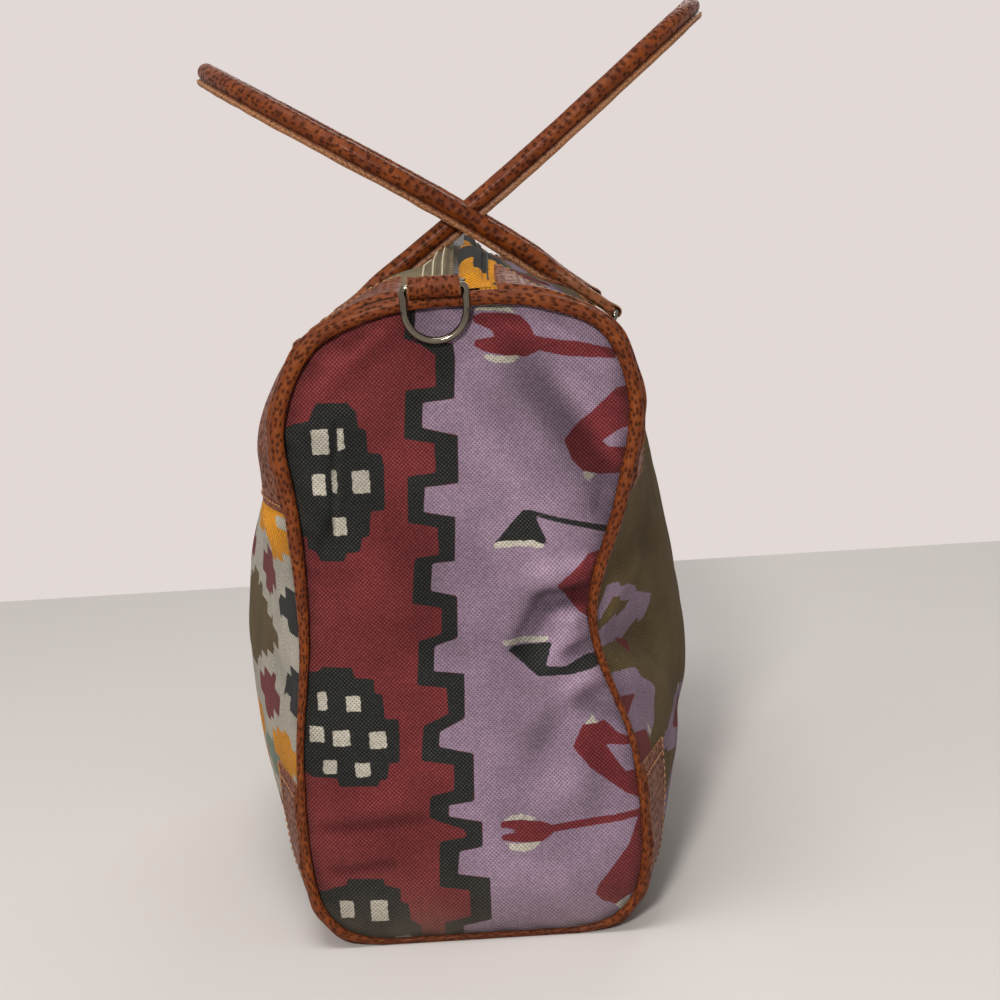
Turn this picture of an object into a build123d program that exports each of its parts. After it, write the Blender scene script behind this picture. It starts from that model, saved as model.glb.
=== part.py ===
from build123d import *
import os
from math import atan, cos, exp, hypot, radians, sin, sqrt

os.makedirs("parts", exist_ok=True)

# Driving dimensions, in millimetres. X is the bag's width, Y its length and Z its height
half_length = 210.0
end_height = 306.0
ridge_height = 326.0
lean = 8.0
waist_dent = 16.0
dent_reach = 70.0
shoulder_swell = 8.5
swell_reach = 22.0
sway = 3.2
canvas = 2.0
leather = 1.5
seam_gap = 0.25

# The leather welt and patches round the two ends
piping_radius = 3.6
patch_length = 38.0

# The crown of an end panel: how far each ring stands out, and how much smaller it is than the first
crown_centre = (0.0, 155.0)
crown = [(0.0, 0.0), (2.6, 0.012), (4.4, 0.08), (5.6, 0.3)]

# The zip, its chain and its slider
tape_width = 8.0
ridge_width = 5.0
ridge_rise = 1.6
zip_half = 197.0
tooth_pitch = 4.0
tooth_width = 5.0
tooth_height = 1.8
slider_y = 172.0
slider_width = 8.4
slider_length = 12.0
slider_clear = 0.5
pull_length = 22.0

# The D-rings and the leather tabs that hold them
d_ring_x = -3.0
d_ring_wire = 1.75
d_ring_width = 32.0
d_ring_drop = 28.0
d_ring_height = 309.0
tab_width = 24.0
tab_radius = 4.9
tab_reach = 10.0
tab_thick = 2.2
d_ring_corner = 2.2

# The handles: pivot on the panel, angle of the rest position, and reach from pivot to top
ring_y = 95.0
ring_wire = 1.5
ring_link = 10.0
ring_inner = 20.0
strap_width = 18.0
strap_radius = 3.8
bar_clear = 0.06
roll_radius = 4.2
core_radius = 2.8
flange_reach = 7.4
flange_half = 1.5
taper_start = 24.0
taper_end = 44.0
back_handle = {"pivot": (81.5, 276.5), "ring_angle": 70, "angle": 145.2, "reach": 248.0, "leg_y": 104.0, "bow": 2.0}
front_handle = {"pivot": (-75.6, 278.0), "ring_angle": 36, "angle": 36.5, "reach": 260.0, "leg_y": 87.0, "bow": -2.0}
chape_thick = 2.2
chape_low = 6.7
chape_high = 7.45

# Half outlines, (half width, height) from the base to the zip, at an end and at mid length
end_outline = [(46, 0), (70, 8), (81, 33), (82, 88), (77, 150), (79, 205), (85, 250), (71, 287), (38, 303)]
mid_outline = [(60, 0), (90, 12), (106, 44), (118, 98), (114, 162), (99, 220), (84, 258), (56, 289), (26, 304)]

# Places along the outline, counted in its points: 0 at the middle of the base, 10 at the zip
base_edge = 1.0
zip_place = 10.0
base_patch_top = 3.85
top_patch_low = 6.05
base_patch_low = 1.2


def fullness(y):
    """0 at the two ends and 1 at mid length."""
    return 1 - (y / half_length) ** 2


def ridge_at(y):
    """The height of the zip line at y."""
    return end_height + fullness(y) * (ridge_height - end_height)


def side_point(y, side, number):
    """One point of the outline, with the soft lean of the top and the dent and swell of slack canvas."""
    if number == 0:
        return (0.0, 0.0)
    if number == len(end_outline) + 1:
        return (lean, ridge_at(y))
    (end_x, end_z), (mid_x, mid_z) = end_outline[number - 1], mid_outline[number - 1]
    x = end_x + fullness(y) * (mid_x - end_x)
    z = end_z + fullness(y) * (mid_z - end_z)
    from_dent = (y + side * half_length) / dent_reach
    from_swell = (y - side * (half_length - 26)) / swell_reach
    x -= waist_dent * exp(-(from_dent**2) - ((z - 140) / 43) ** 2)
    x += shoulder_swell * exp(-(from_swell**2) - ((z - 228) / 45) ** 2)
    shift = lean * (z / ridge_at(y)) ** 3 - sway * fullness(y) * exp(-(((z - 170) / 45) ** 2))
    return (side * x + shift, z)


def outline(y, place, grow):
    """The point of the outline at a place, positive for the back and negative for the front."""
    count = len(end_outline) + 1
    start = int(place // 1)
    part = place - start
    corners = []
    for number in range(start - 1, start + 3):
        wrapped = (number + count) % (2 * count) - count
        corners.append(side_point(y, 1 if wrapped > 0 else -1, abs(wrapped)))
    curve = []
    slope = []
    for a, b, c, d in zip(*corners):
        curve.append(b + part * ((c - a) + part * (2 * a - 5 * b + 4 * c - d + part * (3 * b - a - 3 * c + d))) / 2)
        slope.append((c - a) + part * (2 * (2 * a - 5 * b + 4 * c - d) + 3 * part * (3 * b - a - 3 * c + d)))
    size = hypot(*slope)
    x = curve[0] + grow * slope[1] / size
    z = curve[1] - grow * slope[0] / size
    return (x, max(z, -grow, 0.0))


def upright(y):
    """The vertical plane across the bag at y, with X to the right and Z up."""
    return Plane(origin=(0, y, 0), x_dir=(1, 0, 0), z_dir=(0, -1, 0))


def places(start, end):
    """Evenly spaced places from start to end."""
    count = max(2, round(abs(end - start) * 3))
    return [start + (end - start) * i / count for i in range(count + 1)]


def stations(y_low, y_high):
    """The lengths at which a skin's sections stand: close together near the ends, where it swells."""
    fixed = [end * y for y in (206, 200, 191, 182, 172, 155, 130, 95, 50) for end in (-1, 1)] + [0.0]
    between = [y for y in fixed if y_low + 2 < y < y_high - 2]
    return sorted([y_low, y_high] + (between or [(y_low + y_high) / 2]))


def wall(start, end, inside, outside, y_low, y_high, even=0):
    """A skin that follows the bag between two places and two lengths, from inside to outside."""
    ys = [y_low + (y_high - y_low) * i / even for i in range(even + 1)] if even else stations(y_low, y_high)
    with BuildPart() as skin:
        for y in ys:
            outer_points = [outline(y, place, outside) for place in places(start, end)]
            inner_points = [outline(y, place, inside) for place in places(end, start)]
            with BuildSketch(upright(y)):
                with BuildLine():
                    Spline(*outer_points)
                    Line(outer_points[-1], inner_points[0])
                    Spline(*inner_points)
                    Line(inner_points[-1], outer_points[0])
                make_face()
        loft()
    return skin.part


def write(piece, name):
    """Labels a finished piece and writes it."""
    piece.label = name
    export_step(piece, "parts/" + name + ".step")


# Front and back panels, with the open slot for the zip at the top, and the flat base between them
slot = tape_width / (0.5 * (end_outline[-1][0] + mid_outline[-1][0]))
write(wall(-base_edge, -zip_place + slot, -canvas, 0, -half_length, half_length), "front_panel")
write(wall(base_edge, zip_place - slot, -canvas, 0, -half_length, half_length), "back_panel")

base_ys = [half_length * (i / 4 - 1) for i in range(9)]
base_side = [(outline(y, base_edge, 0)[0] - 2 * seam_gap, y) for y in base_ys]
other_side = [(-x, y) for x, y in reversed(base_side)]
with BuildPart() as base_panel:
    with BuildSketch():
        with BuildLine():
            Spline(*base_side)
            Line(base_side[-1], other_side[0])
            Spline(*other_side)
            Line(other_side[-1], base_side[0])
        make_face()
    extrude(amount=canvas)
write(base_panel.part, "base_panel")

# Zip tapes: each runs under the teeth and is turned over the panel's edge as a stitched ridge
for name, side in [("front", -1), ("back", 1)]:
    flat = wall(side * zip_place, side * (zip_place - slot), -canvas, 0, -half_length, half_length)
    turn_start = side * (zip_place - 0.6 * slot)
    turn_end = side * (zip_place - 0.6 * slot - ridge_width / 30)
    turned = wall(turn_start, turn_end, 0, ridge_rise, -zip_half, zip_half, even=6)
    with BuildPart() as zip_tape:
        add(flat)
        add(turned)
    write(zip_tape.part, "zip_tape_" + name)


def end_ring(end, inset):
    """Points round an end of the bag, a set distance inside its outline."""
    half_places = [i / 2 - zip_place for i in range(int(4 * zip_place))]
    return [outline(end * half_length, place, -inset) for place in half_places]


# Leather piping round each end
for name, end in [("near", -1), ("far", 1)]:
    welt_y = end * (half_length + piping_radius)
    with BuildPart() as piping:
        with BuildLine():
            ring = [Vector(x, welt_y, max(z, piping_radius)) for x, z in end_ring(end, piping_radius)]
            welt = Spline(*ring, periodic=True)
        with BuildSketch(Plane(origin=welt @ 0, z_dir=welt % 0)):
            Circle(piping_radius)
        sweep()
    write(piping.part, "piping_" + name)

# Canvas end panels inside the piping, crowned a little as slack canvas is
for name, end in [("near", -1), ("far", 1)]:
    with BuildPart() as end_panel:
        for lift, mode in [(0, Mode.ADD), (-canvas, Mode.SUBTRACT)]:
            for height, shrink in crown:
                keep = 1 - shrink + lift / 100
                with BuildSketch(upright(end * (half_length - 1 + height + lift))):
                    with BuildLine():
                        rim = end_ring(end, 2 * piping_radius + 0.1)
                        low, high = (1 - keep) * crown_centre[0], (1 - keep) * crown_centre[1]
                        Spline(*[(low + keep * x, high + keep * z) for x, z in rim], periodic=True)
                    make_face()
            loft(ruled=True, mode=mode)
    write(end_panel.part, "end_panel_" + name)

# Leather corner patches over the seams, from the zip down and from the base up
for end_name, end in [("near", -1), ("far", 1)]:
    y_low, y_high = sorted((end * half_length, end * (half_length - patch_length)))
    for side_name, side in [("front", -1), ("back", 1)]:
        top = wall(side * top_patch_low, side * (zip_place - 1.3 * slot), seam_gap, leather, y_low, y_high)
        write(top, "top_patch_" + side_name + "_" + end_name)
        base = wall(side * base_patch_low, side * base_patch_top, seam_gap, leather, y_low, y_high)
        write(base, "base_patch_" + side_name + "_" + end_name)


def zip_line(y):
    """The zip runs along an arc over the bag: its height at y, and the arc's radius."""
    arc_rise = ridge_height - end_height
    radius = (half_length**2 + arc_rise**2) / (2 * arc_rise)
    return ridge_height - radius + sqrt(radius**2 - y**2), radius


def on_zip(y, lift=0.0):
    """The plane on the zip at y, with X across, Y along the zip and Z out of it."""
    height, radius = zip_line(y)
    out = Vector(0, y, height - ridge_height + radius).normalized()
    return Plane(origin=Vector(lean, y, height) + out * lift, x_dir=(1, 0, 0), z_dir=tuple(out))


# Zip teeth, a row of separate moulded teeth that lie across the zip, and the stop at each end
teeth_count = int(2 * zip_half / tooth_pitch) - 1
teeth = []
for i in range(teeth_count):
    y = -zip_half + tooth_pitch * (i + 1)
    with BuildPart() as tooth:
        with BuildSketch(on_zip(y, 0.15)):
            Rectangle(tooth_width, 0.6 * tooth_pitch)
        extrude(amount=tooth_height)
    teeth.append(tooth.part.solid())
write(Compound(children=teeth), "zip_teeth")

for name, end in [("near", -1), ("far", 1)]:
    with BuildPart() as zip_stop:
        with BuildSketch(on_zip(end * zip_half, 0.15)):
            RectangleRounded(tooth_width + 1.6, 5.0, 1.2)
        extrude(amount=tooth_height + 0.5)
    write(zip_stop.part, "zip_stop_" + name)

# Zip slider: a plate that narrows to its nose and rides over the teeth, with a bridge for the pull
plate_low = tooth_height + 0.15 + slider_clear
plate_thick = 1.4
bridge_height = 3.4
pin_radius = 0.7
pin_height = plate_low + plate_thick + 1.5
eye = 6.4
slider_plane = on_zip(slider_y)
slider_side = Plane(origin=slider_plane.from_local_coords((0, 0, pin_height)), x_dir=slider_plane.y_dir, z_dir=(1, 0, 0))
with BuildPart() as zip_slider:
    with BuildSketch(on_zip(slider_y, plate_low)):
        with BuildLine():
            Polyline(
                (-0.34 * slider_width, -slider_length / 2),
                (0.34 * slider_width, -slider_length / 2),
                (slider_width / 2, slider_length / 6),
                (slider_width / 2, slider_length / 2),
                (-slider_width / 2, slider_length / 2),
                (-slider_width / 2, slider_length / 6),
                close=True,
            )
        make_face()
    extrude(amount=plate_thick)
    fillet(zip_slider.edges().filter_by(Axis(slider_plane.origin, slider_plane.z_dir)), 0.8)
    with BuildSketch(on_zip(slider_y, plate_low + plate_thick)):
        RectangleRounded(2.6, 9.0, 0.8)
    extrude(amount=bridge_height)
    with BuildSketch(slider_side):
        RectangleRounded(5.4, 2.0, 0.9)
    extrude(amount=3, both=True, mode=Mode.SUBTRACT)
write(zip_slider.part, "zip_slider")

# Zip pull: a wire eye through the bridge and a flat blade, lying along the zip
pull_plane = on_zip(slider_y, pin_height - pin_radius)
with BuildPart() as zip_pull:
    with BuildSketch(pull_plane):
        with Locations((0, eye + (pull_length - eye) / 2 - pin_radius)):
            RectangleRounded(5.4, pull_length - eye, 1.6)
    extrude(amount=2 * pin_radius)
    with BuildLine(on_zip(slider_y, pin_height)):
        wire = FilletPolyline(
            (-eye / 2, 0),
            (eye / 2, 0),
            (eye / 2, eye),
            (-eye / 2, eye),
            radius=1.4,
            close=True,
        )
    with BuildSketch(Plane(origin=wire @ 0, z_dir=wire % 0)):
        Circle(pin_radius)
    sweep()
write(zip_pull.part, "zip_pull")

# D-rings hanging on the ends, and the rolled leather tabs that carry them over the piping
half_bar = d_ring_width / 2 - d_ring_wire
wire_drop = d_ring_drop - 2 * d_ring_wire
bar_y = half_length + 2 * piping_radius + d_ring_wire + 0.6
for name, end in [("near", -1), ("far", 1)]:
    middle = Vector(-end * d_ring_x, end * bar_y, d_ring_height)
    with BuildPart() as d_ring:
        with BuildLine(Plane(origin=middle, x_dir=(1, 0, 0), z_dir=(0, -1, 0))):
            wire = FilletPolyline(
                (-half_bar, 0),
                (half_bar, 0),
                (half_bar, -wire_drop),
                (-half_bar, -wire_drop),
                radius=[d_ring_corner, d_ring_corner, half_bar - 0.1, half_bar - 0.1],
                close=True,
            )
        with BuildSketch(Plane(origin=wire @ 0, z_dir=wire % 0)):
            Circle(d_ring_wire)
        sweep()
    write(d_ring.part, "d_ring_" + name)

    strap_y = bar_y - half_length + tab_reach
    step_up = ridge_at(half_length - tab_reach) - end_height
    strap_low = end_height + leather + 2 * seam_gap - d_ring_height
    side_view = Plane(origin=middle, x_dir=(0, -end, 0), z_dir=(-end, 0, 0))
    y_low, y_high = sorted((end * (half_length - 1.5 * tab_reach), end * (half_length + 0.4)))
    bag_top = wall(zip_place - 1.2, zip_place + 2.4, -leather, leather + 2 * seam_gap, y_low, y_high)
    with BuildPart() as tab:
        with BuildSketch(side_view):
            Circle(tab_radius)
            with BuildLine():
                Polyline(
                    (0, strap_low + 2),
                    (strap_y - tab_reach, strap_low),
                    (strap_y, strap_low + step_up),
                    (strap_y, strap_low + step_up + tab_thick),
                    (strap_y - tab_reach, strap_low + tab_thick + 1.2),
                    (1.5, tab_radius - 0.4),
                    (0, strap_low + 2),
                )
            make_face()
            Circle(d_ring_wire + bar_clear, mode=Mode.SUBTRACT)
        extrude(amount=tab_width / 2, both=True)
        add(bag_top, mode=Mode.SUBTRACT)
    write(tab.part, "d_ring_tab_" + name)

def across(leg, distance):
    """The plane across a leg at a distance from its bar, with X along the bag."""
    part = distance / leg.length
    return Plane(origin=leg @ part, x_dir=(0, 1, 0), z_dir=leg % part)


def handle_line(leg, apex, start):
    """A handle's line from a distance along one leg, round the top, to the same on the other."""
    part = start / leg.length
    first, middle, last = leg @ part, leg @ ((part + 1) / 2), leg @ 1
    other = [Vector(spot.X, -spot.Y, spot.Z) for spot in (last, middle, first)]
    with BuildLine() as path:
        ThreePointArc(first, middle, last)
        ThreePointArc(last, apex, other[0])
        ThreePointArc(*other)
    return path.line


# Handles: a rolled leather tube with a stitched flange round a rope core, flattened and folded
# round a metal ring at each end, and a leather chape on the panel for each ring
for side_name, handle, side in [("back", back_handle, 1), ("front", front_handle, -1)]:
    angle = radians(handle["angle"])
    ring_angle = radians(handle["ring_angle"])
    along = Vector(cos(angle), 0, sin(angle))
    up = Vector(sin(angle), 0, -cos(angle)) * side
    link = Vector(cos(ring_angle), 0, sin(ring_angle))
    lower = Vector(handle["pivot"][0], 0, handle["pivot"][1])
    upper = lower + link * ring_link
    splay = handle["leg_y"] - ring_y
    leg_length = handle["reach"] - handle["leg_y"] * (1 + splay / 150)
    turn = 2 * atan(2 * handle["bow"] / leg_length)
    splay_angle = atan(splay / leg_length)
    apex_reach = handle["leg_y"] * (1 + sin(splay_angle)) / cos(splay_angle)
    leg_top = upper + along * leg_length
    apex = leg_top + (along * cos(turn) - up * sin(turn)) * apex_reach
    with BuildLine():
        whole_leg = ThreePointArc(
            upper + Vector(0, -ring_y, 0),
            upper + along * (leg_length / 2) + up * handle["bow"] + Vector(0, -ring_y - splay / 2, 0),
            leg_top + Vector(0, -handle["leg_y"], 0),
        )

    with BuildPart() as core:
        with BuildSketch(across(whole_leg, taper_end)):
            Circle(core_radius)
        sweep(path=handle_line(whole_leg, apex, taper_end))
    write(core.part, "handle_core_" + side_name)

    with BuildPart() as strap_end:
        with BuildSketch(Plane(origin=whole_leg @ 0, x_dir=(0, 1, 0), z_dir=along)):
            RectangleRounded(strap_width, 1.7 * strap_radius, 0.8)
        with BuildSketch(across(whole_leg, taper_start)):
            RectangleRounded(strap_width, 1.5 * strap_radius, 0.8)
        with BuildSketch(across(whole_leg, taper_end)):
            RectangleRounded(1.9 * roll_radius, 1.9 * roll_radius, 0.9 * roll_radius)
        loft()
        with BuildSketch(Plane(origin=whole_leg @ 0, x_dir=tuple(along), z_dir=(0, 1, 0))):
            Circle(strap_radius)
        extrude(amount=strap_width / 2, both=True)
        with BuildSketch(Plane(origin=whole_leg @ 0, x_dir=tuple(along), z_dir=(0, 1, 0))):
            Circle(ring_wire + bar_clear)
        extrude(amount=strap_width, both=True, mode=Mode.SUBTRACT)

    with BuildPart() as handle_leather:
        with BuildSketch(across(whole_leg, taper_end - 3)):
            Circle(roll_radius)
            with BuildLine():
                Polyline(
                    (-0.8 * roll_radius, side * 0.6 * roll_radius),
                    (-flange_half, side * (roll_radius + 0.6)),
                    (-flange_half, side * flange_reach),
                    (flange_half, side * flange_reach),
                    (flange_half, side * (roll_radius + 0.6)),
                    (0.8 * roll_radius, side * 0.6 * roll_radius),
                    close=True,
                )
            make_face()
        sweep(path=handle_line(whole_leg, apex, taper_end - 3))
        add(strap_end.part)
        mirror(strap_end.part, about=Plane.XZ)
        add(core.part, mode=Mode.SUBTRACT)
    write(handle_leather.part, "handle_" + side_name)

    for end_name, end in [("near", -1), ("far", 1)]:
        centre = Vector(0, end * ring_y, 0)
        half_ring = ring_inner / 2 + ring_wire
        with BuildPart() as handle_ring:
            with BuildLine(Plane(origin=lower + centre, x_dir=(0, 1, 0), z_dir=link.cross(Vector(0, -1, 0)))):
                loop = FilletPolyline(
                    (-half_ring, 0),
                    (half_ring, 0),
                    (half_ring, ring_link),
                    (-half_ring, ring_link),
                    radius=2.0,
                    close=True,
                )
            with BuildSketch(Plane(origin=loop @ 0, z_dir=loop % 0)):
                Circle(ring_wire)
            sweep()
        write(handle_ring.part, "handle_ring_" + side_name + "_" + end_name)

        root_x, root_z = outline(ring_y, side * 0.5 * (chape_low + chape_high), seam_gap + 1)
        toward = Vector(root_x - lower.X, 0, root_z - lower.Z)
        plate = wall(side * chape_low, side * chape_high, seam_gap, seam_gap + chape_thick,
                     end * ring_y - strap_width / 2, end * ring_y + strap_width / 2)
        clear_half = strap_width / 2 + 1
        shoulder = wall(side * (chape_low - 0.6), side * (chape_high + 0.7), -2 * canvas, seam_gap,
                        end * ring_y - clear_half, end * ring_y + clear_half)
        with BuildPart() as chape:
            with BuildSketch(Plane(origin=lower + centre, x_dir=tuple(toward.normalized()), z_dir=(0, 1, 0))):
                Circle(strap_radius)
                with Locations((toward.length / 2, 0)):
                    Rectangle(toward.length, 1.6 * strap_radius)
            extrude(amount=strap_width / 2, both=True)
            add(plate)
            add(shoulder, mode=Mode.SUBTRACT)
            with BuildSketch(Plane(origin=lower + centre, x_dir=tuple(toward.normalized()), z_dir=(0, 1, 0))):
                Circle(ring_wire + bar_clear)
            extrude(amount=strap_width, both=True, mode=Mode.SUBTRACT)
        write(chape.part, "handle_chape_" + side_name + "_" + end_name)
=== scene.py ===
import math

import bpy
import numpy as np
from mathutils import Matrix, Vector


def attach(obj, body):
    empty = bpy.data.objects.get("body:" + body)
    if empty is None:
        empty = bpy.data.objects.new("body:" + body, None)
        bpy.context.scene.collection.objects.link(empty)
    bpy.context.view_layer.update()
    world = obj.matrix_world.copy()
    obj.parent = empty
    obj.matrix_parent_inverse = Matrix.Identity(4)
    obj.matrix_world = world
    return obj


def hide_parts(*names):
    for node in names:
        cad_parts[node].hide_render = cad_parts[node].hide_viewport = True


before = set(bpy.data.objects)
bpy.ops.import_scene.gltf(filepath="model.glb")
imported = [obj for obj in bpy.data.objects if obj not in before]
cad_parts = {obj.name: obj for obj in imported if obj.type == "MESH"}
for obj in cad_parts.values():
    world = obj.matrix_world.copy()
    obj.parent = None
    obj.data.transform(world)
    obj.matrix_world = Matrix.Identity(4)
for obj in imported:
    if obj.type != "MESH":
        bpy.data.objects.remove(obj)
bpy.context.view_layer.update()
MM = 0.001
ENDS = (("near", -1), ("far", 1))
SIDES = (("front", -1), ("back", 1))

# The bag's shape in millimetres, with the same driving dimensions as the CAD model
HALF_LENGTH = 210.0
END_HEIGHT = 306.0
RIDGE_HEIGHT = 326.0
LEAN = 8.0
WAIST_DENT = 16.0
DENT_REACH = 70.0
SHOULDER_SWELL = 8.5
SWELL_REACH = 22.0
SWAY = 3.2
PIPING_RADIUS = 3.6
PATCH_LENGTH = 38.0
ZIP_PLACE = 10.0
BASE_EDGE = 1.0
END_OUTLINE = [(46, 0), (70, 8), (81, 33), (82, 88), (77, 150), (79, 205), (85, 250), (71, 287), (38, 303)]
MID_OUTLINE = [(60, 0), (90, 12), (106, 44), (118, 98), (114, 162), (99, 220), (84, 258), (56, 289), (26, 304)]
SLOT = 8.0 / (0.5 * (END_OUTLINE[-1][0] + MID_OUTLINE[-1][0]))


def table(outline, top):
    """The outline as two arrays, from the middle of the base to the zip."""
    points = [(0.0, 0.0)] + outline + [(0.0, top)]
    return np.array([p[0] for p in points], float), np.array([p[1] for p in points], float)


END_X, END_Z = table(END_OUTLINE, END_HEIGHT)
MID_X, MID_Z = table(MID_OUTLINE, RIDGE_HEIGHT)


def fullness(y):
    """0 at the ends of the bag, 1 in its middle."""
    return 1 - (y / HALF_LENGTH) ** 2


def control(y, number):
    """One control point of the outline at y, for arrays of y and of whole numbers."""
    wrapped = (number + 10) % 20 - 10
    side = np.sign(wrapped)
    row = np.abs(wrapped)
    full = fullness(y)
    x = END_X[row] + full * (MID_X[row] - END_X[row])
    z = END_Z[row] + full * (MID_Z[row] - END_Z[row])
    ridge = END_HEIGHT + full * (RIDGE_HEIGHT - END_HEIGHT)
    from_dent = (y + side * HALF_LENGTH) / DENT_REACH
    from_swell = (y - side * (HALF_LENGTH - 26)) / SWELL_REACH
    x = x - WAIST_DENT * np.exp(-(from_dent**2) - ((z - 140) / 43) ** 2)
    x = x + SHOULDER_SWELL * np.exp(-(from_swell**2) - ((z - 228) / 45) ** 2)
    shift = LEAN * (z / ridge) ** 3 - SWAY * full * np.exp(-(((z - 170) / 45) ** 2))
    side = np.where(row == 10, 0, side)
    return side * x + np.where(row == 10, LEAN, shift * (row > 0)), z


def outline(y, place, grow=0.0):
    """Points of the bag's surface at y and a place on the outline, with their outward normals."""
    y = np.asarray(y, float) + 0 * np.asarray(place, float)
    place = np.asarray(place, float) + 0 * y
    start = np.floor(place).astype(int)
    part = place - start
    found = []
    for axis in (0, 1):
        a, b, c, d = [control(y, start + step)[axis] for step in (-1, 0, 1, 2)]
        bend = 2 * a - 5 * b + 4 * c - d
        twist = 3 * b - a - 3 * c + d
        at = b + part * ((c - a) + part * (bend + part * twist)) / 2
        found.append((at, (c - a) + part * (2 * bend + 3 * part * twist)))
    (x, dx), (z, dz) = found
    size = np.hypot(dx, dz)
    x = x + grow * dz / size
    z = np.maximum(np.maximum(z - grow * dx / size, -grow), 0.0)
    return x, z, dz / size, -dx / size


# Mesh building
def grid_faces(rows, columns, wrap=False):
    """Four-sided faces over a grid of points, closed across its columns where wrap is true."""
    row, column = np.meshgrid(np.arange(rows - 1), np.arange(columns - (0 if wrap else 1)), indexing="ij")
    beside = (column + 1) % columns
    here, ahead = row * columns, (row + 1) * columns
    return np.stack([here + column, here + beside, ahead + beside, ahead + column], -1).reshape(-1, 4)


def piece(name, points, faces, body, material, hides=(), fields=None):
    """A smooth mesh from points in millimetres. It rides on a body, and fields are values at its points."""
    mesh = bpy.data.meshes.new(name)
    points = np.asarray(points, float).reshape(-1, 3)
    mesh.from_pydata((points * MM).tolist(), [], faces.tolist() if isinstance(faces, np.ndarray) else faces)
    mesh.polygons.foreach_set("use_smooth", [True] * len(mesh.polygons))
    for field, values in (fields or {}).items():
        values = np.asarray(values, np.float32)
        kind, key = ("FLOAT_VECTOR", "vector") if values.ndim > 1 and values.shape[-1] == 3 else ("FLOAT", "value")
        mesh.attributes.new(field, kind, "POINT").data.foreach_set(key, values.ravel())
    made = bpy.data.objects.new(name, mesh)
    bpy.context.scene.collection.objects.link(made)
    mesh.materials.append(material)
    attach(made, body)
    if hides:
        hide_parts(*hides)


def layer(name, x, y, z, flip, material, hides, fields):
    """A layer of the bag over a grid of points, with its faces turned over where flip is true."""
    faces = grid_faces(*y.shape)
    piece(name, np.stack([x, y, z], -1), faces[:, ::-1] if flip else faces, "bag", material, hides, fields)


def cloth_field(first, second):
    """The two directions that a weave or grain follows, in millimetres."""
    return np.stack([first, second, 0 * first], -1)


def run_along(points):
    """The distance of each point along the line through them all."""
    return np.concatenate([[0], np.cumsum(np.linalg.norm(np.diff(points, axis=0), axis=1))])


def unit_rows(rows):
    """Each row brought to length 1."""
    return rows / np.maximum(np.linalg.norm(rows, axis=1), 1e-9)[:, None]


# Printed fields: distances in millimetres to the edge of a shape, positive inside it
def inside_outline(x, z, corners):
    """The field of a closed outline given by its corners."""
    nearest = np.full(np.shape(x), 1e9)
    inside = np.zeros(np.shape(x), bool)
    for (ax, az), (bx, bz) in zip(corners, corners[1:] + corners[:1]):
        ex, ez = bx - ax, bz - az
        part = np.clip(((x - ax) * ex + (z - az) * ez) / (ex * ex + ez * ez), 0, 1)
        nearest = np.minimum(nearest, (x - ax - part * ex) ** 2 + (z - az - part * ez) ** 2)
        if ez:
            inside ^= ((az > z) != (bz > z)) & (x < ax + (z - az) * ex / ez)
    return np.where(inside, 1, -1) * np.sqrt(nearest)


def inside_steps(x, z, steps):
    """The field of a stepped shape: rectangles about the middle, each (half width, half height)."""
    found = np.full(np.shape(x), -1e9)
    for wide, high in steps:
        dx, dz = np.abs(x) - wide, np.abs(z) - high
        out = np.hypot(np.maximum(dx, 0), np.maximum(dz, 0)) + np.minimum(np.maximum(dx, dz), 0)
        found = np.maximum(found, -out)
    return found


def union(*fields):
    """The field of all the shapes together."""
    return np.maximum.reduce(fields)


def boxes(x, z, spots):
    """The field of slightly uneven squares, each (left, top, right, bottom)."""
    halves = [((a + c) / 2, (b + d) / 2, (c - a) / 2, (b - d) / 2) for a, b, c, d in spots]
    return union(*[inside_steps(x - u, z - v, [(wide, high)]) for u, v, wide, high in halves])


def shapes(x, z, outlines):
    """The field of several closed outlines together."""
    return union(*[inside_outline(x, z, corners) for corners in outlines])


# The end panels' print: a crenellated band, stepped medallions with squares, forks, hooks and triangles
BAND_LEFT = [
    (-17, 301), (-18, 286), (-11, 283), (-4.5, 278), (-5, 263.5), (-19, 262.5), (-21, 240.5), (-7.5, 237.5),
    (-7.5, 224),
    (-20.5, 223), (-22, 201.5), (-8.5, 198.5), (-8.5, 186), (-20, 184.5), (-22.5, 163.5), (-9, 160.5), (-10, 148),
    (-20.5, 146), (-22.5, 125.5), (-9, 123.5), (-9, 111), (-21, 106), (-23, 89.5), (-8, 87), (-8.5, 74.5), (-20, 72),
    (-21, 61.5), (-4.5, 55), (-4.5, 51.5), (-17, 50), (-18.5, 28.5), (-4.5, 26), (-4.5, 12.5), (-17, 10), (-18.5, -6),
]
BAND_RIGHT = [
    (-12, 301), (-13.5, 285.5), (4, 282.5), (4.5, 276), (3, 257.5), (-11.5, 256.5), (-12.5, 245), (3.5, 240.5),
    (2.5, 218.5), (-13, 217.5), (-14.5, 206), (0, 203), (-1.5, 182.5), (-12, 182), (-13.5, 169), (-1.5, 166),
    (-2.5, 146), (-13.5, 143), (-14.5, 131.5), (-0.5, 129.5), (-1.5, 108.5), (-13.5, 103), (-14.5, 96), (1.5, 91.5),
    (0.5, 69), (-11.5, 67.5), (-12, 62), (3.5, 58.5), (3, 46.5), (-8, 45), (-9.5, 34), (5.5, 31.5), (5, 10),
    (-8.5, 7.5),
    (-9, -6),
]
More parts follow.
